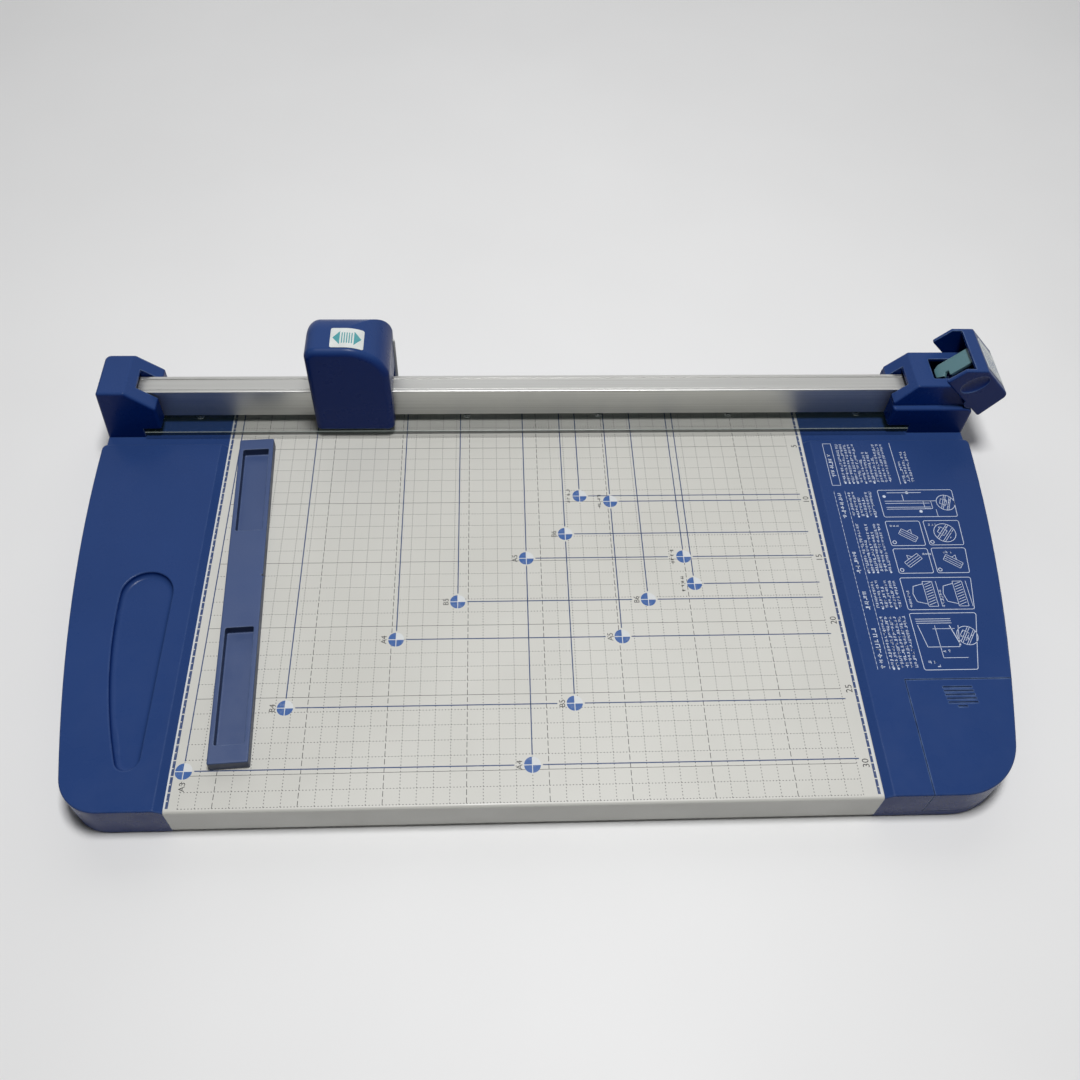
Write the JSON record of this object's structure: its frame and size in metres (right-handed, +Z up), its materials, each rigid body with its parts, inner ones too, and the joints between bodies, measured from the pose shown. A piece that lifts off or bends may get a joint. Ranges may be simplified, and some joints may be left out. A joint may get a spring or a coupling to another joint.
{
  "type": "rotary paper trimmer",
  "caption": "Flat bed paper trimmer with a round blade that slides along an aluminium rail, a lever that clamps the sheet, a magnetic stop and a spares bin.",
  "frame": {"origin": "bottom centre of the whole object's box, with the lever open as at rest", "axes": "+X along the rail to the right, +Y away from the user, +Z up"},
  "size_m": [0.6678, 0.3364, 0.1226],
  "materials": {
    "grey_bed": "satin",
    "zinc_steel": "satin",
    "blue_plastic": "fine texture",
    "slate_plastic": "fine texture, rubbed",
    "pale_plastic": "matte",
    "black_plastic": "matte",
    "grey_plastic": "satin",
    "teal_plastic": "satin",
    "clear_plastic": "clear",
    "label": "satin",
    "steel": "bright",
    "blade_steel": "ground",
    "aluminium": "brushed, clear anodised",
    "rubber": "matte",
    "magnet": "matte",
    "felt": "felt"
  },
  "bodies": {
    "base": {"bed_plate": "grey_bed", "left_panel": "blue_plastic", "right_panel": "blue_plastic", "rear_beam": "blue_plastic", "cutting_strip": "pale_plastic", "left_panel_cover": "black_plastic", "right_panel_cover": "black_plastic", "beam_cover": "black_plastic", "cover_screws": "steel", "rubber_feet": "rubber", "left_block": "blue_plastic", "right_block_base": "blue_plastic", "lever_housing": "blue_plastic", "block_screws": "steel", "lever_pin": "steel", "lift_springs": "steel", "front_cross_rail": "zinc_steel", "rear_cross_rail": "zinc_steel"},
    "clamp": {"rail": "aluminium", "clamp_strip": "clear_plastic", "grip_strip": "rubber", "strip_screws": "steel", "left_rail_plug": "black_plastic", "right_rail_plug": "black_plastic", "plug_screw": "steel"},
    "carriage": {"slider_body": "grey_plastic", "carriage_cover": "blue_plastic", "arrow_label": "label", "blade_guard": "grey_plastic", "glide_pads": "pale_plastic", "carriage_screws": "steel", "holder_spring": "steel"},
    "blade_head": {"blade_holder": "black_plastic", "blade_axle": "steel"},
    "blade": {"round_blade": "blade_steel", "blade_hub": "black_plastic"},
    "lever": {"lever_hood": "blue_plastic", "lever_tongue": "teal_plastic", "tongue_rivets": "steel", "lever_label": "label"},
    "stop": {"stop_bar": "slate_plastic", "stop_magnets": "magnet", "stop_backing": "felt"},
    "lid": {"storage_lid": "blue_plastic"}
  },
  "joints": [
    {"name": "clamp_lift", "type": "slide", "parent": "base", "child": "clamp", "axis": [0, 0, 1], "range_m": [-0.0043, 0], "stiffness_N_per_m": 2000, "springref_m": 0.006, "deforming": ["lift_springs"]},
    {"name": "lever_turn", "type": "hinge", "parent": "base", "child": "lever", "pos_m": [0.31005, 0.13925, 0.0635], "axis": [0, -1, 0], "range_deg": [0, 48]},
    {"name": "carriage_slide", "type": "slide", "parent": "clamp", "child": "carriage", "axis": [1, 0, 0], "range_m": [-0.11, 0.3675]},
    {"name": "blade_float", "type": "slide", "parent": "carriage", "child": "blade_head", "axis": [0, 0, 1], "range_m": [0, 0.0014], "stiffness_N_per_m": 1500, "springref_m": -0.003, "deforming": ["holder_spring"]},
    {"name": "blade_spin", "type": "hinge", "parent": "blade_head", "child": "blade", "pos_m": [-0.14895, 0.15425, 0.0485], "axis": [0, 1, 0], "continuous": true},
    {"name": "stop_slide", "type": "slide", "parent": "base", "child": "stop", "axis": [1, 0, 0], "range_m": [-0.009, 0.382]},
    {"name": "lid_slide", "type": "slide", "parent": "base", "child": "lid", "axis": [0, -1, 0], "range_m": [0, 0.08]}
  ],
  "couplings": [
    {"joint": "lever_turn", "follows": "clamp_lift", "rad_per_m": -194.8},
    {"joint": "blade_spin", "follows": "carriage_slide", "rad_per_m": 71.429}
  ]
}
